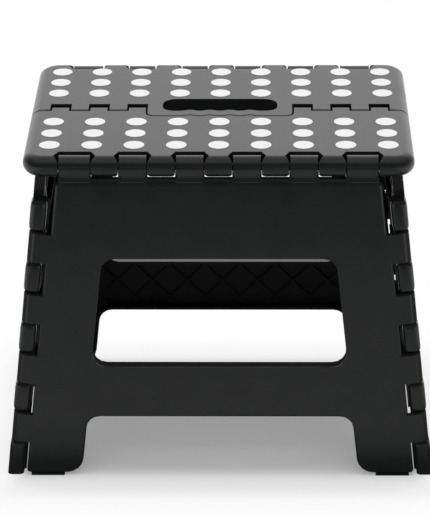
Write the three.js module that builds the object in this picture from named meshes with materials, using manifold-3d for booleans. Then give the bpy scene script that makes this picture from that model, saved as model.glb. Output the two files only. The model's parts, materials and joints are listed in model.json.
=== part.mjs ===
// Folding step stool. A tread in two halves, two legs and four side panels, all ribbed
// mouldings, turn on ten steel pins: the centre of the tread lifts, the sides fold inward
// and the legs come together. Millimetres, +Z up, +X along the tread, origin on the floor
// under the middle of the tread. The front leg faces -Y.
import * as THREE from 'three';
import { mergeVertices } from 'three/addons/utils/BufferGeometryUtils.js';
import Module from 'manifold-3d';

const wasm = await Module();
wasm.setup();

// ---------------------------------------------------------------- driving dimensions

const degree = Math.PI / 180;

// The whole stool
const height = 268;            // floor to tread surface
const treadLength = 295;
const treadDepth = 211;
const treadThickness = 16.8;
const treadCorner = 16;        // plan corner radius
const outlineHalfWidth = 136.9; // side outline, carried up to the tread surface
const sideSlant = 6.3 * degree; // outward slant of both side edges

// Fold: every hinge closes through one angle
const foldAngle = 85.5 * degree;
const hingeDrop = 3.5;         // middle hinges lie this far off the line of their outer hinges

// Walls
const treadSkin = 2.6;
const treadWall = 2.6;
const treadRim = 9.5;          // solid rounded rim of the tread
const legSkin = 2.6;
const legWall = 2.4;
const panelSkin = 2.4;
const panelWall = 2.4;
const panelInset = 2.4;        // inner face of a side panel, inward of its corner hinge
const ribWidth = 1.6;
const knuckleRoot = 3;         // depth to which a knuckle is sunk into its plate
const legRibPitch = 29.6;      // crossing to crossing of the diamond lattice
const treadRibPitch = 48;
const panelRibPitch = 66;

// Clearances
const moveGap = 0.6;           // between surfaces that turn past each other
const nestGap = 0.5;           // between a folded side panel and the leg it lies in
const pinGap = 0.3;            // around a pin
const seatGap = 0.3;           // between a pushed-in piece and its seat
const halfGap = 0.7;           // between the two halves of the tread

// Pins
const longPinRadius = 2;       // tread and corner hinges
const sidePinRadius = 1.5;     // middle hinges of the sides
const pinEndWall = 8;          // what closes a blind bore

// Hinge between a leg and the tread
const legKnuckleInset = 0.5;   // leg knuckle radius, less than the tread's
const legDrop = 3.2;           // the plate's upper edge, below the tread's sweep
const innerKnuckleHalf = 10.3;
const innerKnucklePitch = 42.8;
const outerKnuckleCentre = 108;
const outerKnuckleHalf = 11.7;
const knuckleGap = 0.9;
const notchFlare = 3.2;        // chamfered corners beside each leg knuckle
const flareStart = 6.4;        // in front of the hinge axis
const flareEnd = 1.5;
const flareReturn = 0.9;
const neckSwell = 2.8;         // a leg knuckle's neck runs out to the leg's face
const neckStart = 2.1;         // below the rail's top
const neckEnd = 5.1;
const neckTurn = 230 * degree;
const notchBack = 6.6;         // back edge of a notch, behind the hinge axis

// Centre hinge of the tread
const tabHalf = 6.7;
const firstTabCentre = 64.4;
const tabPitch = 30;
const tabsPerSide = 3;
const tabGap = 1.4;
const tabReach = 2.9;          // front half's tabs, past the hinge line
const fingerReach = 4.1;       // rear half's fingers, past the hinge line
const fingerRound = 3;
const tabRound = 1.2;
const centreNotchBack = 9.9;
const centreBarrel = 4.2;

// Handle
const gripHalfWidth = 56.4;    // the rear half's grip that reaches into the front half
const gripReach = 15.2;
const gripCorner = 6;
const gripGap = 1.2;
const gripDepth = 11;
const slotHalfLength = 44.8;
const slotBack = 21.1;
const slotFront = -4.6;
const slotBackCorner = 11;
const slotFrontCorner = 9;
const waveHeight = 2.2;
const wavePitch = 15.45;
const waveCount = 4;

// Anti-slip dots
const dotRadius = 7.8;
const dotHeight = 0.3;
const dotDraft = 0.45;         // a dot's top is narrower by this
const dotPitchX = 32;
const dotPitchY = 24.2;
const dotColumns = 9;
const dotRows = 3;
const dotInnerRow = 31.2;      // innermost row from the middle of the pattern
const dotShift = 2.4;          // the pattern's middle lies behind the centre hinge

// Legs
const windowInset = 56.9;      // window edge, inside the side outline
const windowTop = 82;          // below the tread surface
const windowBottom = 173.5;
const windowCorner = 11;
const windowRimDepth = 10;
const archTop = 216.8;         // below the tread surface
const archInset = 57.8;
const archCorner = 11;
const archRimDepth = 12.4;
const footCorner = 13;
const frontEdgeRound = 2.2;
const topRailDepth = 6.8;      // a rail behind the plate's upper edge
const topRailHeight = 2.8;

// Corner hinges between legs and side panels
const cornerRadius = 5.7;      // a leg's barrel
const barrelSwell = 0.6;       // a panel's barrel is wider by this
const barrelEnd = 4.4;         // length of its rounded ends
const barrelTaper = 1.4;
const barrelCorner = 3.6;      // rounded corners of its section
const webThickness = 4;        // of the web behind a panel's barrel
const edgeGap = 2.3;           // between a panel's barrel and the edge of the leg
const shoulderStep = 2.4;      // the leg is narrower above its first knuckle
const cornerRound = 6;         // rounded outer edge of the leg
const firstBoundary = 35.2;    // first knuckle boundary, below the tread surface
const cornerPitch = 25.45;
const cornerBoundaries = 9;
const middleBoundaries = 6;    // on the middle hinge of a side
const cornerGap = 1.7;

// Side panels
const panelDrop = 2.6;         // below the tread's underside
const panelEdgeGap = 0.7;      // between a leg's barrel and the panel's edge
const panelMiddleGap = 0.5;    // panel edge from the middle hinge axis
const panelSkinInset = 0.2;    // panel face, inside the middle hinge axis
const sideBarrel = 3;          // knuckle radius of the middle hinge
const sideTabReach = 2.6;
const stripHeight = 1.9;       // raised strip beside the corner hinge
const stripWidth = 5;
const panelArchTop = 201;
const panelArchHalf = 50;
const panelArchCorner = 14;
const middleWeb = 12;          // width of the solid band that carries the middle knuckles
const rimRoomGap = 2;          // around the rim of the folded leg's window

// Rubber feet
const padHeight = 1.7;
const padInset = 3.8;          // from the leg's outer edge
const padSideInset = 0.2;
const padLength = 26;
const tongueLength = 16;
const tongueWidth = 2;
const tongueHeight = 4;

// ---------------------------------------------------------------- derived dimensions

const hingeRadius = treadThickness / 2;
const hingeReach = treadDepth / 2 - hingeRadius;
const hingeHeight = height - hingeRadius;
const centreHeight = hingeHeight - hingeDrop;
const legRadius = hingeRadius - legKnuckleInset;
const legDepth = legRadius - panelInset - nestGap;
const railTop = treadThickness + moveGap;
const shoulder = railTop + legDrop;
const boreRadius = longPinRadius + pinGap;
const sideBoreRadius = sidePinRadius + pinGap;
const slope = Math.tan(sideSlant);
const slantLength = 1 / Math.cos(sideSlant);
const panelBarrel = cornerRadius + barrelSwell;
const edgeInset = cornerRadius + panelBarrel + edgeGap;
const shoulderInset = edgeInset + shoulderStep;
const panelEdge = cornerRadius + panelEdgeGap;
const panelTop = treadThickness + panelDrop;
const webRadius = Math.hypot(edgeInset - cornerRadius, legRadius - legDepth) - moveGap;
const nestSlope = Math.tan(Math.PI / 2 - foldAngle);
const panelOuter = hingeDrop - panelSkinInset;
const legFoot = padHeight + seatGap;
const lastTab = firstTabCentre + (tabsPerSide - 1) * tabPitch;

// ---------------------------------------------------------------- materials

const plastic = (name, color) => new THREE.MeshStandardMaterial({ name, color, roughness: 0.42 });
const blackPlastic = plastic('black_plastic', 0x26282a);
const steel = new THREE.MeshStandardMaterial({ name: 'steel', color: 0xb4b6b8, roughness: 0.35, metalness: 1 });
const rubber = new THREE.MeshStandardMaterial({ name: 'rubber', color: 0x1a1a1b, roughness: 0.9 });

// ---------------------------------------------------------------- solids

// A closed geometry, carried by a matrix, as a solid. A mirroring matrix turns the faces.
function solid(geometry, matrix = new THREE.Matrix4()) {
  geometry.deleteAttribute('normal');
  geometry.deleteAttribute('uv');
  const merged = mergeVertices(geometry, 1e-4).applyMatrix4(matrix);
  const corners = new Uint32Array(merged.index.array);
  if (matrix.determinant() < 0) {
    for (let i = 0; i < corners.length; i += 3) {
      [corners[i], corners[i + 1]] = [corners[i + 1], corners[i]];
    }
  }
  const places = new Float32Array(merged.attributes.position.array);
  return new wasm.Manifold(new wasm.Mesh({ numProp: 3, vertProperties: places, triVerts: corners }));
}

const union = (solids) => solids.reduce((whole, piece) => whole.add(piece));

// A frame whose x, y and z directions are the three given vectors.
function frame(xDirection, yDirection, zDirection, origin) {
  const matrix = new THREE.Matrix4().makeBasis(xDirection, yDirection, zDirection);
  return matrix.setPosition(origin);
}

const X = new THREE.Vector3(1, 0, 0);
const Y = new THREE.Vector3(0, 1, 0);
const Z = new THREE.Vector3(0, 0, 1);
const at = (x, y, z) => new THREE.Vector3(x, y, z);
const halfTurn = new THREE.Matrix4().makeRotationZ(Math.PI);

// A closed outline through [x, y, radius] corners; a radius rounds its corner with an arc.
function outline(corners, path = new THREE.Shape()) {
  const point = (i) => new THREE.Vector2(...corners.at(i % corners.length).slice(0, 2));
  corners.forEach(([, , radius = 0], i) => {
    const here = point(i);
    const back = point(i - 1).sub(here).normalize();
    const next = point(i + 1).sub(here).normalize();
    const half = Math.acos(THREE.MathUtils.clamp(back.dot(next), -1, 1)) / 2;
    const centre = back.clone().add(next).normalize().multiplyScalar(radius / Math.sin(half)).add(here);
    const angleTo = (side) => {
      const touch = here.clone().addScaledVector(side, radius / Math.tan(half)).sub(centre);
      return Math.atan2(touch.y, touch.x);
    };
    const from = angleTo(back);
    const start = new THREE.Vector2(Math.cos(from), Math.sin(from)).multiplyScalar(radius).add(centre);
    if (i === 0) path.moveTo(start.x, start.y);
    else path.lineTo(start.x, start.y);
    if (radius > 0) path.absarc(centre.x, centre.y, radius, from, angleTo(next), back.cross(next) > 0);
  });
  path.closePath();
  return path;
}

const mirrored = (corners) => [
  ...corners,
  ...corners.toReversed().map(([x, y, radius]) => [-x, y, radius]),
];

function extrude(shape, length, curveSegments = 2) {
  return new THREE.ExtrudeGeometry(shape, { depth: length, bevelEnabled: false, curveSegments });
}

// The same, with its edges rounded at both ends, over a reach along its length.
function extrudeRounded(shape, length, round, reach = round) {
  const options = {
    depth: length - 2 * reach,
    bevelThickness: reach,
    bevelSize: round,
    bevelOffset: -round,
    bevelSegments: 2,
    curveSegments: 2,
  };
  return new THREE.ExtrudeGeometry(shape, options).translate(0, 0, reach);
}

// A bar along X from x0 to x1 whose profile lies in Y and Z about a hinge axis.
function barAlongX(profile, x0, x1, y, z, curveSegments = 2) {
  return solid(extrude(profile, x1 - x0, curveSegments), frame(Y, Z, X, at(x0, y, z)));
}

function rodAlongX(radius, x0, x1, y, z, sides = 10) {
  const rod = new THREE.CylinderGeometry(radius, radius, x1 - x0, sides);
  return solid(rod, frame(Y, X, at(0, 0, -1), at((x0 + x1) / 2, y, z)));
}

const block = (x0, x1, y0, y1, z0, z1) => solid(
  new THREE.BoxGeometry(x1 - x0, y1 - y0, z1 - z0)
    .translate((x0 + x1) / 2, (y0 + y1) / 2, (z0 + z1) / 2),
);

// A lattice of bars at 45 degrees both ways, in the x and y of a frame, from z0 to z1. Its
// bars cross at the origin and every pitch along x and y.
function lattice(pitch, reach, z0, z1, matrix) {
  const bars = [];
  const count = Math.ceil(reach / pitch);
  for (const turn of [-45 * degree, 45 * degree]) {
    for (let i = -count; i <= count; i += 1) {
      const bar = new THREE.BoxGeometry(2 * reach, ribWidth, z1 - z0);
      bar.rotateZ(turn).translate(i * pitch, 0, (z0 + z1) / 2);
      bars.push(solid(bar, matrix));
    }
  }
  return union(bars);
}

// ---------------------------------------------------------------- tread

const legKnuckles = [
  ...[-1.5, -0.5, 0.5, 1.5].map((place) => ({ centre: place * innerKnucklePitch, half: innerKnuckleHalf })),
  { centre: -outerKnuckleCentre, half: outerKnuckleHalf },
  { centre: outerKnuckleCentre, half: outerKnuckleHalf },
];

const tabCentres = [];
for (let i = 0; i < tabsPerSide; i += 1) {
  tabCentres.push(firstTabCentre + i * tabPitch, -firstTabCentre - i * tabPitch);
}

const rectangle = (x0, x1, y0, y1, radius = 0) => outline([
  [x0, y0, radius], [x1, y0, radius], [x1, y1, radius], [x0, y1, radius],
]);

// The whole tread's outer form: flat faces and a full round all the way round.
function treadBlank() {
  const flatBand = 0.4;
  const round = (treadThickness - flatBand) / 2;
  const halfX = treadLength / 2 - round;
  const halfY = treadDepth / 2 - round;
  const options = {
    depth: flatBand,
    bevelThickness: round,
    bevelSize: round,
    bevelSegments: 5,
    curveSegments: 3,
  };
  const core = rectangle(-halfX, halfX, -halfY, halfY, treadCorner - round);
  const blank = new THREE.ExtrudeGeometry(core, options);
  return solid(blank.translate(0, 0, height - treadThickness + round));
}

// What lies under the two planes that meet when the tread is folded.
function treadUnderside() {
  const reach = treadDepth;
  const apex = centreHeight + seatGap;
  const drop = reach * Math.tan(Math.PI / 2 - foldAngle);
  const below = outline([
    [-reach, 0], [reach, 0], [reach, apex - drop], [0, apex], [-reach, apex - drop],
  ]);
  return barAlongX(below, -treadLength, treadLength, 0, 0);
}

// Room for the front leg's knuckles, with the chamfered corners beside each.
function knuckleNotches() {
  const sweep = hingeRadius + moveGap;
  const outside = -2 * hingeRadius;
  const rise = Math.sqrt(sweep ** 2 - notchBack ** 2);
  const clearance = new THREE.Shape();
  clearance.moveTo(outside, -sweep - 2);
  clearance.lineTo(sweep, -sweep - 2);
  clearance.lineTo(sweep, 0);
  clearance.absarc(0, 0, sweep, 0, Math.atan2(rise, notchBack));
  clearance.lineTo(notchBack, sweep + 2);
  clearance.lineTo(outside, sweep + 2);
  clearance.closePath();
  return union(legKnuckles.flatMap(({ centre, half }) => {
    const side = half + knuckleGap;
    const plan = outline(mirrored([
      [side, outside], [side, -flareStart], [side + notchFlare, -flareEnd],
      [side, notchBack - flareReturn], [side, notchBack],
    ]));
    const flare = solid(
      extrude(plan, 2 * treadThickness),
      frame(X, Y, Z, at(centre, -hingeReach, height - 1.5 * treadThickness)),
    );
    return [
      flare,
      barAlongX(clearance, centre - side, centre + side, -hingeReach, hingeHeight),
    ];
  }));
}

// The finger wave along the grip, from its left end to its right one, seen from above.
function wave(level) {
  const points = [];
  const half = (waveCount * wavePitch) / 2;
  const steps = waveCount * 6;
  for (let i = 0; i <= steps; i += 1) {
    const x = -half + (2 * half * i) / steps;
    const lift = (waveHeight / 2) * (1 - Math.cos((2 * Math.PI * x) / wavePitch));
    points.push([x, level + lift]);
  }
  return points;
}

// The grip's plan, grown outward by a margin.
const gripPlan = (margin, back) => outline([
  [-gripHalfWidth - margin, back],
  [-gripHalfWidth - margin, -gripReach - margin, gripCorner + margin],
  ...wave(-gripReach - margin),
  [gripHalfWidth + margin, -gripReach - margin, gripCorner + margin],
  [gripHalfWidth + margin, back],
]);

const slotPlan = (margin) => outline([
  [-slotHalfLength - margin, slotFront - margin, slotFrontCorner + margin],
  ...(margin === 0 ? wave(slotFront) : []),
  [slotHalfLength + margin, slotFront - margin, slotFrontCorner + margin],
  [slotHalfLength + margin, slotBack + margin, slotBackCorner + margin],
  [-slotHalfLength - margin, slotBack + margin, slotBackCorner + margin],
]);

const treadFloor = height - 2 * treadThickness;
const upright = (shape, z0, z1) => solid(extrude(shape, z1 - z0), frame(X, Y, Z, at(0, 0, z0)));

// One knuckle of the centre hinge: a barrel under a block that reaches past the hinge line.
// Side is -1 for the front half and 1 for the rear half.
function centreKnuckle(x0, x1, side, reach, round) {
  const rise = height - centreHeight;
  const root = side * (centreNotchBack + knuckleRoot);
  const tip = -side * reach;
  const shape = outline([[root, 0], [tip, 0], [tip, rise, round], [root, rise]]);
  return barAlongX(shape, x0, x1, 0, centreHeight)
    .add(rodAlongX(centreBarrel, x0, x1, 0, centreHeight, 14));
}

// The ribs under the skin, kept inside the pocket that they stiffen.
function treadPocket(y0, y1, walls) {
  const halfX = treadLength / 2 - treadRim;
  const plan = rectangle(-halfX, halfX, y0, y1, treadCorner - treadRim);
  return upright(plan, treadFloor, height - treadSkin).subtract(walls);
}

function dots(side) {
  const discs = [];
  for (let row = 0; row < dotRows; row += 1) {
    for (let column = 0; column < dotColumns; column += 1) {
      const x = (column - (dotColumns - 1) / 2) * dotPitchX;
      const y = dotShift + side * (dotInnerRow + row * dotPitchY);
      const dot = new THREE.CylinderGeometry(dotRadius - dotDraft, dotRadius + dotDraft, 2 * dotHeight, 8);
      discs.push(solid(dot, frame(X, Z, at(0, -1, 0), at(x, y, height))));
    }
  }
  return union(discs);
}

function treadHalves() {
  const blank = treadBlank();
  const folded = blank.subtract(treadUnderside());
  const ribs = lattice(treadRibPitch, treadLength, treadFloor, height, frame(X, Y, Z, at(0, 0, 0)));
  const pinEnd = lastTab + tabHalf + pinEndWall;
  const slotEnd = slotHalfLength + treadWall;
  const pocketReach = hingeReach - hingeRadius - moveGap - treadWall;
  const notches = knuckleNotches();
  const notchesBehind = notches.transform(halfTurn.elements);
  const boreEnd = treadLength / 2 - pinEndWall;
  const outerBore = (y) => rodAlongX(boreRadius, -boreEnd, boreEnd, y, hingeHeight);
  const centreBore = union([-1, 1].map((side) => {
    const ends = [side * slotEnd, side * pinEnd].sort((a, b) => a - b);
    return rodAlongX(boreRadius, ends[0], ends[1], 0, centreHeight);
  }));

  // Front half: cut back to the fingers and round the grip, then its tabs.
  const frontEdge = -fingerReach - halfGap;
  const frontOutline = rectangle(-treadLength, treadLength, -treadDepth, frontEdge);
  const frontPlan = upright(frontOutline, treadFloor, height + 1);
  const gripRoom = upright(gripPlan(gripGap, 40), treadFloor, height + 1);
  const gripWall = upright(gripPlan(gripGap + treadWall, 40), treadFloor, height + 1);
  const frontPocket = treadPocket(-pocketReach, frontEdge - treadWall, gripWall);
  const tabs = union(tabCentres.map((x) => centreKnuckle(x - tabHalf, x + tabHalf, -1, tabReach, tabRound)));
  const front = folded.intersect(frontPlan)
    .subtract(frontPocket)
    .add(ribs.intersect(frontPocket).intersect(folded))
    .add(dots(-1))
    .subtract(gripRoom)
    .add(tabs)
    .subtract(notches)
    .subtract(outerBore(-hingeReach))
    .subtract(centreBore);

  // Rear half: its fingers between the tabs, the grip and the hand slot.
  const rearOutline = rectangle(-treadLength, treadLength, centreNotchBack, treadDepth);
  const rearPlan = upright(rearOutline, treadFloor, height + 1);
  const grip = upright(gripPlan(0, centreNotchBack + knuckleRoot), height - gripDepth, height);
  const slotWall = upright(slotPlan(treadWall), treadFloor, height).intersect(folded);
  const slot = upright(slotPlan(0), treadFloor, height + 1);
  const notchHalf = tabHalf + tabGap;
  const fingerSpans = [[slotEnd, gripHalfWidth]];
  for (let i = 0; i < tabsPerSide; i += 1) {
    const start = firstTabCentre + i * tabPitch + notchHalf;
    fingerSpans.push([start, i < tabsPerSide - 1 ? start + tabPitch - 2 * notchHalf : treadLength / 2]);
  }
  const fingers = union(fingerSpans.flatMap(([x0, x1]) => [
    centreKnuckle(x0, x1, 1, fingerReach, fingerRound),
    centreKnuckle(-x1, -x0, 1, fingerReach, fingerRound),
  ])).intersect(blank);
  const backWall = centreNotchBack + treadWall;
  const rearPocket = treadPocket(backWall, pocketReach, upright(slotPlan(treadWall), treadFloor, height));
  const rear = folded.intersect(rearPlan)
    .subtract(rearPocket)
    .add(ribs.intersect(rearPocket).intersect(folded))
    .add(dots(1))
    .add(fingers)
    .add(grip)
    .add(slotWall.intersect(rearPlan))
    .subtract(slot)
    .subtract(notchesBehind)
    .subtract(outerBore(hingeReach))
    .subtract(centreBore);
  return { front, rear };
}

// ---------------------------------------------------------------- side frames

// Half width of a line that runs parallel to the side outline, at a drop below the tread.
const lineX = (drop, inset) => outlineHalfWidth + drop * slope - inset;
const hingeInset = cornerRadius * slantLength;

// The frame of one corner hinge: x runs down the hinge axis from the tread's height, y runs
// from the leg to the middle of the side, z points out of the stool.
// Side is 1 for the right and -1 for the left; end is -1 for the front and 1 for the rear.
function cornerFrame(side, end) {
  const down = at(side * Math.sin(sideSlant), 0, -Math.cos(sideSlant));
  const inward = at(0, -end, 0);
  const outward = at(side * Math.cos(sideSlant), 0, Math.sin(sideSlant));
  return frame(down, inward, outward, at(side * lineX(0, hingeInset), end * hingeReach, height));
}

// In a corner frame: a profile in (outward, inward) as a bar that runs down the hinge axis.
function barAlongEdge(profile, drop0, drop1, curveSegments = 2) {
  const along = frame(Z, Y, X, at(drop0 * slantLength, 0, 0));
  return solid(extrude(profile, (drop1 - drop0) * slantLength, curveSegments), along);
}

function rodAlongEdge(radius, drop0, drop1, outward = 0, inward = 0, sides = 10) {
  const length = (drop1 - drop0) * slantLength;
  const rod = new THREE.CylinderGeometry(radius, radius, length, sides).rotateZ(Math.PI / 2);
  return solid(rod.translate(drop0 * slantLength + length / 2, inward, outward));
}

// Knuckle spans down a side edge: odd ones belong to the leg and even ones to the panel.
function knuckleSpans(first, last) {
  const spans = [];
  for (let i = first; i < last; i += 2) {
    const start = firstBoundary + i * cornerPitch + cornerGap / 2;
    const end = firstBoundary + (i + 1) * cornerPitch - cornerGap / 2;
    spans.push([start, end]);
  }
  return spans;
}

// ---------------------------------------------------------------- legs

// The leg plate, drawn in X and Z, drawn in by a margin.
function legPlan(margin, path) {
  const across = margin * slantLength;
  const top = shoulder + margin;
  const bottom = height - legFoot - margin;
  const corner = frontEdgeRound + 0.4;
  const step = firstBoundary + cornerPitch * 1.5;
  return outline(mirrored([
    [lineX(archTop - margin, archInset) + across, height - archTop + margin, archCorner + margin],
    [lineX(bottom, archInset) + across, height - bottom, footCorner - margin],
    [lineX(bottom, edgeInset) - across, height - bottom, corner],
    [lineX(step, edgeInset) - across, height - step],
    [lineX(step, shoulderInset) - across, height - step],
    [lineX(top, shoulderInset) - across, height - top, corner],
  ]), path);
}

// The window, grown by a margin.
function windowPlan(margin, path) {
  const across = margin * slantLength;
  const top = windowTop - margin;
  const bottom = windowBottom + margin;
  const radius = windowCorner + margin;
  return outline(mirrored([
    [lineX(bottom, windowInset) + across, height - bottom, radius],
    [lineX(top, windowInset) + across, height - top, radius],
  ]), path);
}

const legFace = -hingeReach - legRadius;

// A plan in X and Z, carried from one depth behind the leg's face to another.
const legSlab = (shape, from, to) => solid(extrude(shape, to - from), frame(X, Z, Y, at(0, legFace + from, 0)));

// A leg's tread knuckle: a barrel on a neck that swells out to the leg's face.
function treadKnuckle() {
  const under = -hingeRadius - moveGap;
  const root = under - neckEnd - knuckleRoot;
  const profile = new THREE.Shape();
  profile.moveTo(-legRadius, root);
  profile.lineTo(-legRadius, under - neckEnd);
  profile.lineTo(-legRadius + neckSwell, under - neckStart);
  profile.absarc(0, 0, legRadius, neckTurn, -80 * degree, true);
  profile.lineTo(-legRadius + legDepth, under);
  profile.lineTo(-legRadius + legDepth, root);
  profile.closePath();
  return profile;
}

// A leg's corner knuckle: the leg's rounded edge in front, a barrel on the hinge axis behind.
function legCornerProfile() {
  const root = -(edgeInset - cornerRadius) - knuckleRoot;
  const back = -legRadius + legDepth;
  const meet = Math.PI - Math.asin(back / cornerRadius);
  const profile = new THREE.Shape();
  profile.moveTo(root, -legRadius);
  profile.absarc(cornerRadius - cornerRound, -legRadius + cornerRound, cornerRound, -Math.PI / 2, 0);
  profile.absarc(0, 0, cornerRadius, 0, meet);
  profile.lineTo(root, back);
  profile.closePath();
  return profile;
}

function legSolid() {
  const pocket = legPlan(legWall);
  pocket.holes.push(windowPlan(legWall, new THREE.Path()));
  const windowRim = windowPlan(legWall);
  windowRim.holes.push(windowPlan(0, new THREE.Path()));
  const plate = extrudeRounded(legPlan(0), 2 * legDepth, frontEdgeRound);
  const rounded = solid(plate, frame(X, Z, Y, at(0, legFace, 0)));
  const behind = block(-treadLength, treadLength, legFace + legDepth, 0, -1, height);
  const pocketSolid = legSlab(pocket, legSkin, legDepth);
  const ribOrigin = frame(X, Z, Y, at(0, legFace, height - (windowBottom + archTop) / 2 + ribWidth));
  const crossbar = block(-treadLength, treadLength, legFace, 0, 0, height - windowBottom);
  const closeRibs = lattice(legRibPitch, 1.5 * treadLength, legSkin, legDepth, ribOrigin);
  const wideRibs = lattice(2 * legRibPitch, 1.5 * treadLength, legSkin, legDepth, ribOrigin);
  const ribs = closeRibs.intersect(crossbar).add(wideRibs);

  // The arch's rim stands deeper than the plate; the plate's outline bounds it.
  const archBand = legPlan(0);
  archBand.holes.push(legPlan(legWall, new THREE.Path()));
  const archSide = lineX(height, archInset) + legWall;
  const archZone = block(-archSide, archSide, legFace, 0, -1, height - archTop + legWall);
  const archRim = legSlab(archBand, frontEdgeRound, archRimDepth).intersect(archZone);

  const profile = treadKnuckle();
  const corners = [-1, 1].map((side) => cornerFrame(side, -1));
  const cornerKnuckles = union(knuckleSpans(1, cornerBoundaries - 1)
    .map(([drop0, drop1]) => barAlongEdge(legCornerProfile(), drop0, drop1)));
  const cornerBore = rodAlongEdge(boreRadius, firstBoundary, height);
  const footTongue = (side) => {
    const x = side * footCentre();
    const half = tongueLength / 2 + seatGap;
    const width = tongueWidth / 2 + seatGap;
    const y = legFace + legDepth / 2;
    return block(x - half, x + half, y - width, y + width, 0, legFoot + tongueHeight + seatGap);
  };
  const footBlock = (side) => {
    const x = side * footCentre();
    const half = tongueLength / 2 + legWall;
    const top = legFoot + tongueHeight + legWall;
    return block(x - half, x + half, legFace + legSkin / 2, legFace + legDepth, legFoot, top);
  };

  const railEnd = lineX(shoulder, shoulderInset) - frontEdgeRound;
  const railBar = (depth, drop) => block(
    -railEnd, railEnd, legFace + legDepth / 2, legFace + depth, height - drop, height - railTop,
  );
  const rail = railBar(topRailDepth, railTop + topRailHeight).add(railBar(legDepth, shoulder + legWall));

  return rounded.subtract(behind)
    .subtract(pocketSolid)
    .add(ribs.intersect(pocketSolid))
    .add(legSlab(windowRim, legSkin / 2, windowRimDepth))
    .subtract(legSlab(windowPlan(0), -1, 2 * windowRimDepth))
    .add(archRim)
    .add(rail)
    .add(footBlock(-1))
    .add(footBlock(1))
    .add(union(legKnuckles.map(({ centre, half }) => (
      barAlongX(profile, centre - half, centre + half, -hingeReach, hingeHeight, 7)))))
    .add(union(corners.map((corner) => cornerKnuckles.transform(corner.elements))))
    .subtract(footTongue(-1))
    .subtract(footTongue(1))
    .subtract(rodAlongX(boreRadius, -treadLength / 2, treadLength / 2, -hingeReach, hingeHeight))
    .subtract(union(corners.map((corner) => cornerBore.transform(corner.elements))));
}

// ---------------------------------------------------------------- side panels

const panelMiddle = hingeReach;

// The panel's plan in its corner frame, drawn in by a margin. Its foot stands by the leg.
function panelPlan(margin) {
  const top = panelTop * slantLength + margin;
  const bottom = height * slantLength + margin;
  const edge = panelEdge + margin;
  const middle = panelMiddle - panelMiddleGap - margin;
  const arch = panelArchTop * slantLength - margin;
  const footEnd = panelMiddle - panelArchHalf - margin;
  return outline([
    [top, edge, 1], [top, middle, 1], [arch, middle, 1],
    [arch, footEnd, panelArchCorner + margin], [bottom, footEnd, 0.5], [bottom, edge, 0.5],
  ]);
}

// How far inward a panel may reach at a distance from its corner hinge, so that it lies
// along the inside of the folded leg.
const nestReach = (inward) => panelInset + inward * nestSlope;

// The panel's thickness as a profile in (outward, inward): it grows towards the middle.
function panelWedge(outer) {
  return outline([
    [outer, 0], [outer, panelMiddle], [-nestReach(panelMiddle), panelMiddle], [-nestReach(0), 0],
  ]);
}

// Room in the panel's ribs for the rim of the folded leg's window.
function rimRoom() {
  const rise = windowRimDepth - legDepth;
  const start = windowInset - legWall - cornerRadius - rimRoomGap;
  const end = panelMiddle + middleWeb;
  const deep = -2 * nestReach(panelMiddle);
  const profile = outline([
    [rise - nestReach(start), start], [rise - nestReach(end), end], [deep, end], [deep, start],
  ]);
  const first = windowTop - legWall - panelMiddle * slope;
  return barAlongEdge(profile, first - rimRoomGap, windowBottom + legWall + rimRoomGap);
}

// A panel's corner knuckle, with rounded ends, on a web that closes the leg's notch behind it.
function cornerKnuckle(drop0, drop1) {
  const near = panelEdge - knuckleRoot;
  const far = near + webThickness;
  const reachAt = (inward) => -Math.sqrt(webRadius ** 2 - inward ** 2);
  const back = (near + far) / 2;
  const face = outline([
    [panelBarrel, back], [panelBarrel, -panelBarrel, barrelCorner],
    [-panelBarrel, -panelBarrel, barrelCorner], [-panelBarrel, back],
  ]);
  const length = (drop1 - drop0) * slantLength;
  const along = frame(Z, Y, X, at(drop0 * slantLength, 0, 0));
  const knuckle = solid(extrudeRounded(face, length, barrelTaper, barrelEnd), along);
  const web = outline([
    [panelOuter, near], [panelOuter, panelEdge + panelWall], [-panelInset, panelEdge + panelWall],
    [reachAt(far), far], [reachAt(near), near],
  ]);
  return knuckle.add(barAlongEdge(web, drop0, drop1));
}

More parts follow.
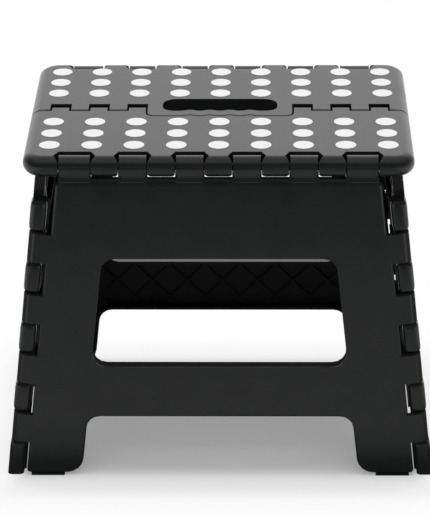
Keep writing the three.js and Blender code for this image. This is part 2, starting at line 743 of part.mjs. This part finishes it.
// Front and rear halves carry alternate knuckles of the middle hinge.
function panelSolid(side, end) {
  const slab = (shape, z0, z1) => solid(extrude(shape, z1 - z0), frame(X, Y, Z, at(0, 0, z0)));
  const deepest = -2 * nestReach(panelMiddle);
  const plate = slab(panelPlan(0), deepest, panelOuter)
    .intersect(barAlongEdge(panelWedge(panelOuter), 0, 2 * height));
  const pocket = slab(panelPlan(panelWall), deepest, panelOuter - panelSkin);
  const ribOrigin = frame(X, Y, Z, at(0.5 * height, panelMiddle / 2, 0));
  const ribs = lattice(panelRibPitch, 0.75 * height, deepest, panelOuter, ribOrigin);

  const cornerSpans = knuckleSpans(0, cornerBoundaries);
  cornerSpans.at(-1)[1] = height + cornerRadius;
  const cornerKnuckles = cornerSpans.map(([drop0, drop1]) => cornerKnuckle(drop0, drop1));

  const strip = rectangle(-panelInset, panelOuter + stripHeight, panelEdge, panelEdge + stripWidth);

  const own = end < 0 ? 0 : 1;
  const middleSpans = knuckleSpans(own, middleBoundaries);
  const otherSpans = knuckleSpans(1 - own, middleBoundaries);
  const band = rectangle(-panelInset, panelOuter, panelMiddle - middleWeb, panelMiddle + sideTabReach, 0.6);
  const middleKnuckles = middleSpans.map(([drop0, drop1]) => barAlongEdge(band, drop0, drop1)
    .add(rodAlongEdge(sideBarrel, drop0, drop1, hingeDrop, panelMiddle, 12)));
  const clear = sideBarrel + sideTabReach;
  const room = rectangle(-2 * panelInset, 3 * panelOuter, panelMiddle - clear, panelMiddle + middleWeb);
  const rooms = otherSpans.map(([drop0, drop1]) => barAlongEdge(room, drop0 - cornerGap, drop1 + cornerGap));
  const middleBore = rodAlongEdge(sideBoreRadius, ...middlePinSpan(sidePinEnd - pinGap), hingeDrop, panelMiddle);

  const corner = cornerFrame(side, end);
  const floor = block(-2 * treadLength, 2 * treadLength, -treadDepth, treadDepth, -60, 0);
  const bottomRail = block(-2 * treadLength, 2 * treadLength, -treadDepth, treadDepth, -60, panelWall);
  const above = corner.clone().invert();
  return plate.subtract(pocket)
    .add(ribs.intersect(pocket).intersect(plate))
    .add(bottomRail.transform(above.elements).intersect(plate))
    .subtract(rimRoom())
    .subtract(union(rooms))
    .add(barAlongEdge(strip, panelTop, height + cornerRadius))
    .add(union(cornerKnuckles))
    .add(union(middleKnuckles))
    .subtract(rodAlongEdge(boreRadius, firstBoundary + pinEndWall, height + cornerRadius))
    .subtract(middleBore)
    .transform(corner.elements)
    .subtract(floor);
}

// ---------------------------------------------------------------- pins and feet

const sidePinEnd = 5;
const middlePinSpan = (endWall) => [
  firstBoundary + endWall,
  firstBoundary + (middleBoundaries) * cornerPitch - endWall,
];

function footCentre() {
  const drop = height - legFoot;
  return lineX(drop, edgeInset) - padInset - padLength / 2;
}

function pad(side, end) {
  const x = side * footCentre();
  const y = end * (hingeReach + legRadius - legDepth / 2);
  const halfWidth = legDepth / 2 - padSideInset;
  const sole = block(x - padLength / 2, x + padLength / 2, y - halfWidth, y + halfWidth, 0, padHeight);
  const tongue = block(
    x - tongueLength / 2, x + tongueLength / 2, y - tongueWidth / 2, y + tongueWidth / 2,
    padHeight / 2, legFoot + tongueHeight,
  );
  return sole.add(tongue);
}

// ---------------------------------------------------------------- the stool

const stool = new THREE.Group();
stool.name = 'step_stool';

function put(name, whole, material) {
  const mesh = whole.asOriginal().simplify(0.01).getMesh();
  const geometry = new THREE.BufferGeometry();
  geometry.setAttribute('position', new THREE.BufferAttribute(mesh.vertProperties, 3));
  geometry.setIndex(new THREE.BufferAttribute(mesh.triVerts, 1));
  geometry.computeVertexNormals();
  const piece = new THREE.Mesh(geometry, material);
  piece.name = name;
  stool.add(piece);
}

const tread = treadHalves();
put('top_front', tread.front, blackPlastic);
put('top_rear', tread.rear, blackPlastic);

const leg = legSolid();
put('leg_front', leg, blackPlastic);
put('leg_rear', leg.transform(halfTurn.elements), blackPlastic);

const sides = [['left', -1], ['right', 1]];
const ends = [['front', -1], ['rear', 1]];

for (const [endName, end] of ends) {
  const reach = treadLength / 2 - pinEndWall - pinGap;
  put(`pin_top_${endName}`, rodAlongX(longPinRadius, -reach, reach, end * hingeReach, hingeHeight), steel);
}

for (const [sideName, side] of sides) {
  const near = slotHalfLength + treadWall + pinGap;
  const far = lastTab + tabHalf + pinEndWall - pinGap;
  const [x0, x1] = [side * near, side * far].sort((a, b) => a - b);
  put(`pin_centre_${sideName}`, rodAlongX(longPinRadius, x0, x1, 0, centreHeight), steel);

  const middlePin = rodAlongEdge(sidePinRadius, ...middlePinSpan(sidePinEnd), hingeDrop, panelMiddle);
  put(`pin_side_${sideName}`, middlePin.transform(cornerFrame(side, -1).elements), steel);

  for (const [endName, end] of ends) {
    put(`side_${sideName}_${endName}`, panelSolid(side, end), blackPlastic);
    const cornerPin = rodAlongEdge(longPinRadius, firstBoundary + pinEndWall + pinGap, height - 4);
    put(`pin_corner_${sideName}_${endName}`, cornerPin.transform(cornerFrame(side, end).elements), steel);
    put(`foot_${sideName}_${endName}`, pad(side, end), rubber);
  }
}

export default stool;
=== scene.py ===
"""A folding step stool on a white studio floor, seen from the front and a little above."""

import json
import math

import bmesh
import bpy
from mathutils import Matrix, Vector


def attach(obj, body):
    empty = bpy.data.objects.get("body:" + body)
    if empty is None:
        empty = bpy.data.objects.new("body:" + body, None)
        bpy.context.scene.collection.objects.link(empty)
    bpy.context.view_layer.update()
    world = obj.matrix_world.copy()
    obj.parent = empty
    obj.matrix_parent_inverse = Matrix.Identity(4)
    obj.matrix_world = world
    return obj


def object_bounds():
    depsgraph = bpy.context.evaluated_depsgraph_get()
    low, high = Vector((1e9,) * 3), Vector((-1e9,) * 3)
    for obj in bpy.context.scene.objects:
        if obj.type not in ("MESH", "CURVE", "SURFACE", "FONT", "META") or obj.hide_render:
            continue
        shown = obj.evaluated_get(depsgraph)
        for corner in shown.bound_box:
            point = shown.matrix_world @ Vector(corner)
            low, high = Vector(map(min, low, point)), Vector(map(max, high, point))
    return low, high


MM = 0.001

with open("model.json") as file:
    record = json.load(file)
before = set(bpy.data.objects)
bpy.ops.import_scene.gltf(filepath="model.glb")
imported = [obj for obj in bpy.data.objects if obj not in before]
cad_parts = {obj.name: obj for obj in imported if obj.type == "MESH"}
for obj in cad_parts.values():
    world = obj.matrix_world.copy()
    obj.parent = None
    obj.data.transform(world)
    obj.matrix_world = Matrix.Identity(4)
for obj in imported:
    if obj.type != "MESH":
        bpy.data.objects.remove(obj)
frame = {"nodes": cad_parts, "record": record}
cad_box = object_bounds()
nodes = frame["nodes"]

scene = bpy.context.scene
scene.view_settings.view_transform = "Standard"


# ---------------------------------------------------------------- camera

CAMERA_AT = Vector((0.02890, -2.02182, 1.04136))
CAMERA_DOWN = math.radians(24.02)
CAMERA_YAW = math.radians(0.95)
CAMERA_ROLL = math.radians(0.37)
CAMERA_LENS = 193.2
CAMERA_SENSOR = 36
CAMERA_REACH = 50                 # metres that it can see


def add_camera():
    data = bpy.data.cameras.new("camera")
    data.sensor_width = CAMERA_SENSOR
    data.lens = CAMERA_LENS
    data.clip_end = CAMERA_REACH
    camera = bpy.data.objects.new("camera", data)
    scene.collection.objects.link(camera)
    upright = Matrix.Rotation(math.pi / 2 - CAMERA_DOWN, 4, "X")
    yaw = Matrix.Rotation(CAMERA_YAW, 4, "Z")
    roll = Matrix.Rotation(-CAMERA_ROLL, 4, "Z")
    turned = yaw @ upright @ roll
    camera.matrix_world = Matrix.Translation(CAMERA_AT) @ turned
    scene.camera = camera


add_camera()


# ---------------------------------------------------------------- materials

BLACK = [(0.0106, 0.0122, 0.0116), (0.0134, 0.0150, 0.0143)]
BLACK_ROUGHNESS = (0.19, 0.25)
DULLER = 0.7                      # added to the roughness where a leg is dull
WHITE = (0.93, 0.93, 0.93, 1)
STEEL = (0.055, 0.055, 0.057, 1)
STEEL_ROUGHNESS = (0.4, 0.55)
RUBBER = (0.008, 0.008, 0.008, 1)
FINE_GRAIN = 0.00004              # metres deep
COARSE_GRAIN = 0.0001

# The front leg is dull behind its front face and below its top: metres along Y and up.
FRONT_LEG_DULL = (-0.1045, -0.1035, 0.2465)


def new_material(name):
    material = bpy.data.materials.new(name)
    material.use_nodes = True
    tree = material.node_tree
    return material, tree, tree.nodes["Principled BSDF"]


def add_node(tree, kind, **values):
    node = tree.nodes.new(kind)
    for key, value in values.items():
        if hasattr(node, key):
            setattr(node, key, value)
        else:
            node.inputs[key.replace("_", " ")].default_value = value
    return node


def noise(tree, scale, detail=2.0):
    """A noise value from the piece's own coordinates, in metres."""
    place = add_node(tree, "ShaderNodeTexCoord")
    texture = add_node(tree, "ShaderNodeTexNoise", Scale=scale, Detail=detail)
    tree.links.new(place.outputs["Object"], texture.inputs["Vector"])
    return texture.outputs["Fac"]


def ramp(tree, value, low, high, start=0.3, end=0.7):
    """Maps a value to a range; noise keeps mostly between 0.3 and 0.7."""
    node = add_node(tree, "ShaderNodeMapRange")
    node.inputs["From Min"].default_value = start
    node.inputs["From Max"].default_value = end
    node.inputs["To Min"].default_value = low
    node.inputs["To Max"].default_value = high
    tree.links.new(value, node.inputs["Value"])
    return node.outputs["Result"]


def blend(tree, value, first, second):
    """A colour between two colours."""
    node = add_node(tree, "ShaderNodeMix", data_type="RGBA")
    tree.links.new(value, node.inputs["Factor"])
    node.inputs["A"].default_value = (*first, 1)
    node.inputs["B"].default_value = (*second, 1)
    return node.outputs["Result"]


def graph(tree, value, points):
    """A level that follows straight lines between points, each a value and its level."""
    start, end, most = points[0][0], points[-1][0], max(level for _, level in points)
    curve = add_node(tree, "ShaderNodeValToRGB")
    stops = curve.color_ramp.elements
    while len(stops) < len(points):
        stops.new(0.5)
    for stop, (place, level) in zip(stops, points):
        stop.position = (place - start) / (end - start)
        stop.color = (*[level / most] * 3, 1)
    tree.links.new(ramp(tree, value, 0, 1, start, end), curve.inputs["Fac"])
    scaled = add_node(tree, "ShaderNodeMath", operation="MULTIPLY")
    scaled.inputs[1].default_value = most
    tree.links.new(curve.outputs["Color"], scaled.inputs[0])
    return scaled.outputs[0]


def grain(tree, shader, scale, depth, strength):
    bump = add_node(tree, "ShaderNodeBump", Strength=strength, Distance=depth)
    tree.links.new(noise(tree, scale), bump.inputs["Height"])
    tree.links.new(bump.outputs["Normal"], shader.inputs["Normal"])


def black_plastic(name="black_plastic", matte=None):
    """Moulded plastic; matte is where a leg is dull: two depths along Y and a height."""
    material, tree, shader = new_material(name)
    mottle = ramp(tree, noise(tree, 60, 5), 0.0, 1.0)
    tint = blend(tree, mottle, *BLACK)
    tree.links.new(tint, shader.inputs["Base Color"])
    shader.inputs["IOR"].default_value = 1.45
    rough = ramp(tree, noise(tree, 35, 4), *BLACK_ROUGHNESS)
    if matte:
        outer, inner, top = matte
        place = add_node(tree, "ShaderNodeTexCoord")
        parts = add_node(tree, "ShaderNodeSeparateXYZ")
        tree.links.new(place.outputs["Object"], parts.inputs["Vector"])
        behind = ramp(tree, parts.outputs["Y"], 0, 1, outer, inner)
        below = ramp(tree, parts.outputs["Z"], 1, 0, top, top + MM)
        dull = add_node(tree, "ShaderNodeMath", operation="MULTIPLY")
        tree.links.new(behind, dull.inputs[0])
        tree.links.new(below, dull.inputs[1])
        duller = add_node(tree, "ShaderNodeMath", operation="MULTIPLY_ADD")
        duller.inputs[1].default_value = DULLER
        tree.links.new(dull.outputs[0], duller.inputs[0])
        tree.links.new(rough, duller.inputs[2])
        rough = duller.outputs[0]
    tree.links.new(rough, shader.inputs["Roughness"])
    grain(tree, shader, 1400, FINE_GRAIN, 0.3)
    return material


def white_plastic():
    material, tree, shader = new_material("white_plastic")
    shader.inputs["Base Color"].default_value = WHITE
    shader.inputs["Roughness"].default_value = 0.6
    grain(tree, shader, 2200, FINE_GRAIN, 0.3)
    return material


def steel():
    material, tree, shader = new_material("steel")
    shader.inputs["Base Color"].default_value = STEEL
    shader.inputs["Metallic"].default_value = 1
    tree.links.new(ramp(tree, noise(tree, 500, 3), *STEEL_ROUGHNESS), shader.inputs["Roughness"])
    return material


def rubber():
    material, tree, shader = new_material("rubber")
    shader.inputs["Base Color"].default_value = RUBBER
    shader.inputs["Roughness"].default_value = 0.8
    grain(tree, shader, 900, COARSE_GRAIN, 0.4)
    return material


finishes = {"black_plastic": black_plastic(), "steel": steel(), "rubber": rubber()}
slots = {part["node"]: part["material_slot"] for part in frame["record"]["subparts"]}

for name, node in nodes.items():
    node.data.materials.clear()
    node.data.materials.append(finishes[slots[name]])

front_leg = nodes["leg_front"].data.materials
front_leg[0] = black_plastic("front_leg_plastic", FRONT_LEG_DULL)


# ---------------------------------------------------------------- moulded edges


EDGES = [0.4 * MM, 0.3 * MM, 0.2 * MM, 0.1 * MM]      # tried in turn, widest first
MOST_OVERHANG = 0.01 * MM
SAME_POINT = 0.00001
EDGE_SEGMENTS = 2
FLAT_ANGLE = math.radians(1)
EDGE_ANGLE = math.radians(40)


def soften(node, width, clamp):
    """Rounds a piece's sharp edges and shades it evenly; a clamp keeps tight places plain."""
    weld = node.modifiers.new("weld", "WELD")
    weld.merge_threshold = SAME_POINT
    flat = node.modifiers.new("flat", "DECIMATE")
    flat.decimate_type = "DISSOLVE"
    flat.angle_limit = FLAT_ANGLE
    edge = node.modifiers.new("edge", "BEVEL")
    edge.width = width
    edge.segments = EDGE_SEGMENTS
    edge.limit_method = "ANGLE"
    edge.angle_limit = EDGE_ANGLE
    edge.use_clamp_overlap = clamp
    for face in node.data.polygons:
        face.use_smooth = True
    shade = node.modifiers.new("shade", "WEIGHTED_NORMAL")
    shade.mode = "FACE_AREA"
    shade.weight = 100
    shade.keep_sharp = False


def overhang(node):
    """How far a rounded piece reaches outside its own plain box."""
    plain = [Vector(c) for c in node.bound_box]
    depsgraph = bpy.context.evaluated_depsgraph_get()
    rounded = node.evaluated_get(depsgraph).to_mesh()
    most = 0
    for axis in range(3):
        low, high = min(c[axis] for c in plain), max(c[axis] for c in plain)
        values = [v.co[axis] for v in rounded.vertices]
        most = max(most, low - min(values), max(values) - high)
    node.evaluated_get(depsgraph).to_mesh_clear()
    return most


for name, node in nodes.items():
    if slots[name] != "black_plastic":
        continue
    soften(node, EDGES[0], clamp=name.startswith("side_"))
    for width in EDGES:
        node.modifiers["edge"].width = width
        if overhang(node) < MOST_OVERHANG:
            break


# ---------------------------------------------------------------- hinge details

HEIGHT = 268 * MM                 # floor to tread surface
HINGE_REACH = 97.1 * MM           # tread hinges, from the middle
HINGE_HEIGHT = 259.6 * MM
SLANT = math.radians(6.3)         # of both side edges
CORNER_HINGE = 131.165 * MM       # corner hinge, at the tread's height
FIRST_SPAN = 35.2 * MM
SPAN_PITCH = 25.45 * MM
SPAN_GAP = 0.85 * MM
INNER_KNUCKLES = [(c * MM, 10.3 * MM) for c in (-64.2, -21.4, 21.4, 64.2)]
OUTER_KNUCKLES = [(c * MM, 11.7 * MM) for c in (-108, 108)]
KNUCKLES = INNER_KNUCKLES + OUTER_KNUCKLES            # middle along X and half width

# Profiles in millimetres: the front of a corner knuckle, the corner of a tread knuckle's gap,
# and the strip behind the tread hinge.
COVER = [(-0.2, -7.92), (-14, -7.92), (-14, -7.3), (-11.5, -2.5), (-0.2, -7.5)]
GUSSET = [(-6.1, -9.2), (-6.1, -8.0), (-4.6, -4.7), (0, -4.7), (0, -9.2)]
GUSSET_SIDE = 0.75 * MM
STRIP = [(-2.4, -9.4), (-2.4, -8.85), (-1.0, -8.85), (-1.0, -9.4)]
STRIP_HALF = 120 * MM


def add_prism(mesh, profile, matrix, start, end):
    """A closed bar: a profile in millimetres, in a frame's x and y, from start to end along z."""
    ends = []
    for z in (start, end):
        ends.append([mesh.verts.new(matrix @ Vector((x * MM, y * MM, z))) for x, y in profile])
    faces = [mesh.faces.new(ends[0]), mesh.faces.new(ends[1])]
    for i in range(len(profile)):
        j = (i + 1) % len(profile)
        faces.append(mesh.faces.new((ends[0][i], ends[0][j], ends[1][j], ends[1][i])))
    bmesh.ops.recalc_face_normals(mesh, faces=faces)


def frame_of(x_axis, y_axis, z_axis, origin):
    matrix = Matrix((x_axis, y_axis, z_axis)).transposed().to_4x4()
    return Matrix.Translation(origin) @ matrix


def add_piece(name, mesh, body, material):
    data = bpy.data.meshes.new(name)
    mesh.to_mesh(data)
    mesh.free()
    data.materials.append(material)
    piece = bpy.data.objects.new(name, data)
    scene.collection.objects.link(piece)
    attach(piece, body)


def add_hinge_details(name, end, body):
    """What closes the fronts of a leg's corner knuckles and the corners of its tread hinge."""
    mesh = bmesh.new()
    for side in (-1, 1):
        down = Vector((side * math.sin(SLANT), 0, -math.cos(SLANT)))
        outward = Vector((side * math.cos(SLANT), 0, math.sin(SLANT)))
        at = (side * CORNER_HINGE, end * HINGE_REACH, HEIGHT)
        corner = frame_of(outward, Vector((0, -end, 0)), down, at)
        for i in range(1, 8, 2):
            top = (FIRST_SPAN + i * SPAN_PITCH + SPAN_GAP) / math.cos(SLANT)
            bottom = (FIRST_SPAN + (i + 1) * SPAN_PITCH - SPAN_GAP) / math.cos(SLANT)
            add_prism(mesh, COVER, corner, top, bottom)
    axes = Vector((0, -end, 0)), Vector((0, 0, 1)), Vector((1, 0, 0))
    hinge = frame_of(*axes, (0, end * HINGE_REACH, HINGE_HEIGHT))
    for centre, half in KNUCKLES:
        for x in (centre - half, centre + half):
            add_prism(mesh, GUSSET, hinge, x - GUSSET_SIDE, x + GUSSET_SIDE)
    add_prism(mesh, STRIP, hinge, -STRIP_HALF, STRIP_HALF)
    add_piece(name, mesh, body, finishes["black_plastic"])


add_hinge_details("hinge_front", -1, "front_leg")
add_hinge_details("hinge_rear", 1, "rear_leg")


# ---------------------------------------------------------------- anti-slip dots

DOT_RADIUS = 7.85 * MM
DOT_ROUND = 0.12 * MM
DOT_SUNK = 0.5 * MM
DOT_PROUD = 0.04 * MM          # above the moulded disc that each one caps
DOT_COLUMNS = 9
DOT_PITCH = (32 * MM, 24.2 * MM)
DOT_INNER_ROW = 31.2 * MM
DOT_SHIFT = 2.4 * MM
DOT_ROWS = 3
DOT_SIDES = 36


def add_dots(name, side, body):
    """The white discs of one half of the tread, in three rows."""
    top = cad_box[1][2] + DOT_PROUD
    rings = [
        (DOT_RADIUS, top - DOT_SUNK), (DOT_RADIUS, top - DOT_ROUND),
        (DOT_RADIUS - 0.3 * DOT_ROUND, top - 0.3 * DOT_ROUND), (DOT_RADIUS - DOT_ROUND, top),
    ]
    mesh = bmesh.new()
    for row in range(DOT_ROWS):
        for column in range(DOT_COLUMNS):
            x = (column - (DOT_COLUMNS - 1) / 2) * DOT_PITCH[0]
            y = DOT_SHIFT + side * (DOT_INNER_ROW + row * DOT_PITCH[1])
            add_lathe(mesh, x, y, rings, DOT_SIDES)
    add_piece(name, mesh, body, white_finish)


def add_lathe(mesh, x, y, rings, sides):
    """A closed turned form about an upright axis, from its lowest ring to its highest."""
    loops = []
    for radius, z in rings:
        turns = [2 * math.pi * i / sides for i in range(sides)]
        points = [(x + radius * math.cos(t), y + radius * math.sin(t), z) for t in turns]
        loops.append([mesh.verts.new(point) for point in points])
    for low, high in zip(loops, loops[1:]):
        for i in range(sides):
            j = (i + 1) % sides
            mesh.faces.new((low[i], low[j], high[j], high[i]))
    mesh.faces.new(loops[-1])
    mesh.faces.new(loops[0][::-1])


white_finish = white_plastic()
add_dots("dots_front", -1, "front_tread")
add_dots("dots_rear", 1, "rear_tread")


# ---------------------------------------------------------------- stage

FLOOR_SIZE = 40
WORLD_LEVEL = 0.6
LAMP_AT = (0, 0.1, 2.2)
LAMP_AIM = (0, 0.1, 0)
LAMP_SIZE = (2.0, 1.6)
LAMP_POWER = 17
SIDE_FADE = (0.45, 0.85)          # sideways directions between which the sky darkens
SIDE_LEVEL = 0.3

def camera_switch(tree, level, other, seen):
    """A shader that only the camera sees, mixed in at a level over the other one."""
    path = add_node(tree, "ShaderNodeLightPath")
    amount = add_node(tree, "ShaderNodeMath", operation="MULTIPLY")
    tree.links.new(path.outputs["Is Camera Ray"], amount.inputs[0])
    tree.links.new(level, amount.inputs[1])
    mix = add_node(tree, "ShaderNodeMixShader")
    tree.links.new(amount.outputs[0], mix.inputs["Fac"])
    tree.links.new(other, mix.inputs[1])
    tree.links.new(seen, mix.inputs[2])
    return mix.outputs["Shader"]


def glossy_switch(tree, seen, mirrored):
    """One shader for reflections and another for everything else."""
    path = add_node(tree, "ShaderNodeLightPath")
    mix = add_node(tree, "ShaderNodeMixShader")
    tree.links.new(path.outputs["Is Glossy Ray"], mix.inputs["Fac"])
    tree.links.new(seen, mix.inputs[1])
    tree.links.new(mirrored, mix.inputs[2])
    return mix.outputs["Shader"]


# A painted reflection: how bright the floor glows in reflections only, not as the camera sees it,
# with painted shade under the stool;
# metres and a strength, along Y from well in front of the stool to behind it, and across X from
# the middle to the sides.
FLOOR_PAINTED_REFLECTION = [
    (-0.76, 0.0), (-0.64, 0.18), (-0.56, 0.31), (-0.42, 0.4), (-0.25, 0.47), (-0.19, 0.5),
    (-0.15, 0.3), (-0.13, 0.03), (0.1, 0.03), (0.14, 0.9), (0.4, 1.0),
]
FLOOR_PAINTED_REFLECTION_SIDES = [(0.0, 0.0), (0.24, 0.0), (0.42, 1.0), (0.6, 1.0)]

# How far the floor's shadow gives way to plain white for the camera, along Y and across X.
# Under the stool it is 0.16, so the shadow is a little lighter than the lamps make it.
FLOOR_WHITE = [
    (-0.18, 1.0), (-0.145, 0.84), (-0.129, 0.58), (-0.113, 0.45), (-0.1, 0.2), (0.08, 0.16),
    (0.11, 0.8), (0.15, 1.0),
]
FLOOR_WHITE_SIDES = [(0.0, 0.0), (0.14, 0.0), (0.167, 0.7), (0.2, 1.0), (0.3, 1.0)]


def add_floor():
    bpy.ops.mesh.primitive_plane_add(size=FLOOR_SIZE)
    floor = bpy.context.object
    floor.name = "floor"
    material, tree, shader = new_material("floor_white")
    shader.inputs["Base Color"].default_value = (1, 1, 1, 1)
    shader.inputs["Roughness"].default_value = 0.9
    shader.inputs["Specular IOR Level"].default_value = 0
    # Painted reflection: this glow is seen only in reflections, so it paints reflections and
    # shade onto the plastic; it is not lamp light.
    painted_reflection_glow = add_node(tree, "ShaderNodeEmission", Strength=1.0)
    place = add_node(tree, "ShaderNodeTexCoord")
    parts = add_node(tree, "ShaderNodeSeparateXYZ")
    tree.links.new(place.outputs["Object"], parts.inputs["Vector"])
    across = add_node(tree, "ShaderNodeMath", operation="ABSOLUTE")
    tree.links.new(parts.outputs["X"], across.inputs[0])
    level = add_node(tree, "ShaderNodeMath", operation="MAXIMUM")
    tree.links.new(graph(tree, parts.outputs["Y"], FLOOR_PAINTED_REFLECTION), level.inputs[0])
    tree.links.new(graph(tree, across.outputs[0], FLOOR_PAINTED_REFLECTION_SIDES), level.inputs[1])
    tree.links.new(level.outputs[0], painted_reflection_glow.inputs["Strength"])
    whiten = add_node(tree, "ShaderNodeMath", operation="MAXIMUM")
    tree.links.new(graph(tree, parts.outputs["Y"], FLOOR_WHITE), whiten.inputs[0])
    tree.links.new(graph(tree, across.outputs[0], FLOOR_WHITE_SIDES), whiten.inputs[1])
    white = add_node(tree, "ShaderNodeEmission", Strength=1.0)
    seen = camera_switch(tree, whiten.outputs[0], shader.outputs[0], white.outputs[0])
    end = tree.nodes["Material Output"]
    tree.links.new(glossy_switch(tree, seen, painted_reflection_glow.outputs[0]), end.inputs["Surface"])
    floor.data.materials.append(material)


# What reflections see, round from the front horizon over the top to the back one: a fraction
# of the half turn and a strength.
CARDS = [
    (0.0, 0.05), (0.22, 0.06), (0.31, 0.61), (0.56, 0.65), (0.66, 0.78), (0.76, 1.40),
    (0.875, 1.39), (0.895, 1.25), (1.0, 1.2),
]


def add_world():
    world = bpy.data.worlds.new("studio")
    scene.world = world
    world.use_nodes = True
    tree = world.node_tree
    tree.nodes["Background"].inputs["Color"].default_value = (1, 1, 1, 1)
    tree.nodes["Background"].inputs["Strength"].default_value = WORLD_LEVEL
    place = add_node(tree, "ShaderNodeTexCoord")
    parts = add_node(tree, "ShaderNodeSeparateXYZ")
    tree.links.new(place.outputs["Generated"], parts.inputs["Vector"])
    front = add_node(tree, "ShaderNodeMath", operation="MULTIPLY")
    front.inputs[1].default_value = -1
    tree.links.new(parts.outputs["Y"], front.inputs[0])
    turn = add_node(tree, "ShaderNodeMath", operation="ARCTAN2")
    tree.links.new(parts.outputs["Z"], turn.inputs[0])
    tree.links.new(front.outputs[0], turn.inputs[1])
    half_turns = add_node(tree, "ShaderNodeMath", operation="DIVIDE")
    half_turns.inputs[1].default_value = math.pi
    tree.links.new(turn.outputs[0], half_turns.inputs[0])
    across = add_node(tree, "ShaderNodeMath", operation="ABSOLUTE")
    tree.links.new(parts.outputs["X"], across.inputs[0])
    level = add_node(tree, "ShaderNodeMath", operation="MULTIPLY")
    tree.links.new(graph(tree, half_turns.outputs[0], CARDS), level.inputs[0])
    tree.links.new(ramp(tree, across.outputs[0], 1, SIDE_LEVEL, *SIDE_FADE), level.inputs[1])
    bright = add_node(tree, "ShaderNodeBackground")
    tree.links.new(level.outputs[0], bright.inputs["Strength"])
    bright.inputs["Color"].default_value = (1, 1, 1, 1)
    end = tree.nodes["World Output"]
    seen = tree.nodes["Background"].outputs[0]
    tree.links.new(glossy_switch(tree, seen, bright.outputs[0]), end.inputs["Surface"])


def add_light(name, at, aim, size, power):
    data = bpy.data.lights.new(name, "AREA")
    data.shape = "RECTANGLE"
    data.size, data.size_y = size
    data.energy = power
    light = bpy.data.objects.new(name, data)
    scene.collection.objects.link(light)
    light.location = at
    light.rotation_euler = (Vector(aim) - Vector(at)).to_track_quat("-Z", "Y").to_euler()
    light.visible_glossy = False


add_floor()
add_world()
add_light("overhead", LAMP_AT, LAMP_AIM, LAMP_SIZE, LAMP_POWER)
